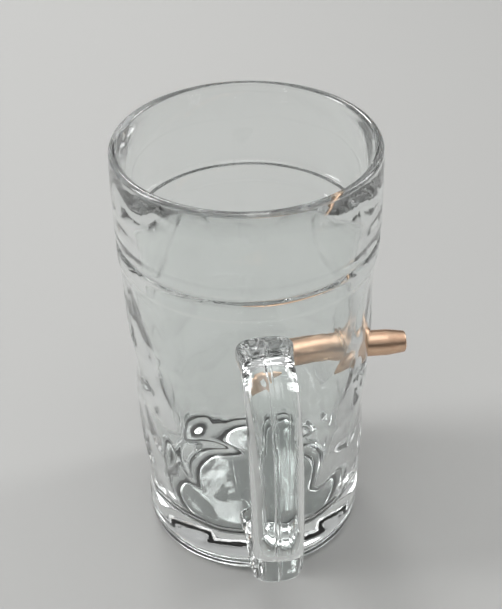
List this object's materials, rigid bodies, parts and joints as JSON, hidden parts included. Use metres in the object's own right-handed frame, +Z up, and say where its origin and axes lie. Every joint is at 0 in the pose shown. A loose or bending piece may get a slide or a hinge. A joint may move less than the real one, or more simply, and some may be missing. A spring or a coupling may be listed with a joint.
{
  "type": "glass beer stein",
  "caption": "Half-litre pressed-glass beer stein with staggered dimples, a plain rim band and a strap handle, and a copper boat-tail bullet bonded through the wall",
  "frame": {"origin": "under the middle of the whole object's box, on the surface that it stands on", "axes": "+Z up along the axis of the glass; the handle points to -Y; the bullet's base points to +X"},
  "size_m": [0.1013, 0.1228, 0.159],
  "materials": {
    "clear_glass": "fire-polished clear soda-lime glass with a faint grey-green tint",
    "copper": null,
    "clear_adhesive": "cured clear adhesive"
  },
  "bodies": {
    "root": {"glass_stein": "clear_glass", "copper_bullet": "copper", "adhesive_sleeve": "clear_adhesive"}
  },
  "joints": []
}
